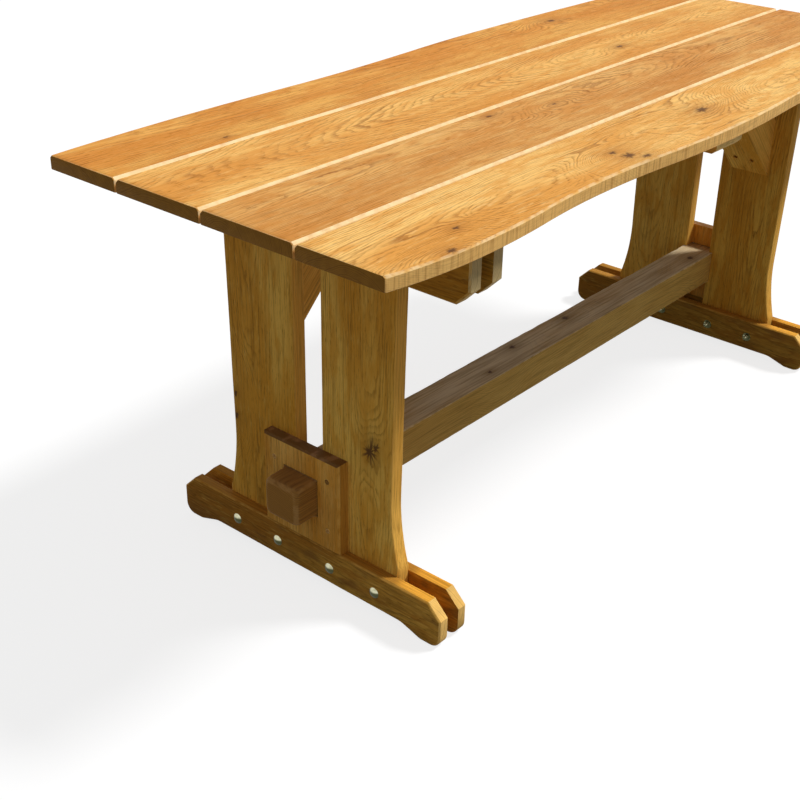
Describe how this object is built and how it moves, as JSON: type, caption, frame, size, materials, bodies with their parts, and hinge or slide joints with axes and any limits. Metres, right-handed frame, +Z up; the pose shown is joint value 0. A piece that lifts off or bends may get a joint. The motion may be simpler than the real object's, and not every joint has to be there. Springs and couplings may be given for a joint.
{
  "type": "trestle dining table",
  "caption": "Oak trestle dining table: plank top with wavy natural edges, bolted board trestles, knee braces, and a stretcher housed through the uprights and collar plates.",
  "frame": {"origin": "on the floor, under the middle of the top", "axes": "+X along the length of the table, +Y from the front to the back, +Z up"},
  "size_m": [1.8, 0.744, 0.75],
  "materials": {
    "oak_top": "oiled, satin",
    "oak_frame": "oiled, satin",
    "oak_beam": "weathered, matte",
    "zinc_steel": "zinc plated",
    "screw_steel": "yellow zinc plated"
  },
  "bodies": {
    "root": {"front_outer_plank": "oak_top", "front_inner_plank": "oak_top", "back_inner_plank": "oak_top", "back_outer_plank": "oak_top", "middle_batten": "oak_frame", "left_back_brace": "oak_frame", "right_front_brace": "oak_frame", "left_front_upright": "oak_frame", "left_back_upright": "oak_frame", "left_outer_cleat": "oak_frame", "left_inner_cleat": "oak_frame", "left_collar_plate": "oak_frame", "right_front_upright": "oak_frame", "right_back_upright": "oak_frame", "right_outer_cleat": "oak_frame", "right_inner_cleat": "oak_frame", "right_collar_plate": "oak_frame", "left_outer_foot_rail": "oak_frame", "left_inner_foot_rail": "oak_frame", "right_outer_foot_rail": "oak_frame", "right_inner_foot_rail": "oak_frame", "stretcher_beam": "oak_beam", "foot_bolts": "zinc_steel", "foot_washers": "zinc_steel", "foot_nuts": "zinc_steel", "cleat_bolts": "zinc_steel", "cleat_washers": "zinc_steel", "cleat_nuts": "zinc_steel", "collar_screws": "screw_steel", "plank_screws": "screw_steel", "batten_screws": "screw_steel", "brace_foot_screws": "screw_steel", "brace_head_screws": "screw_steel"}
  },
  "joints": []
}
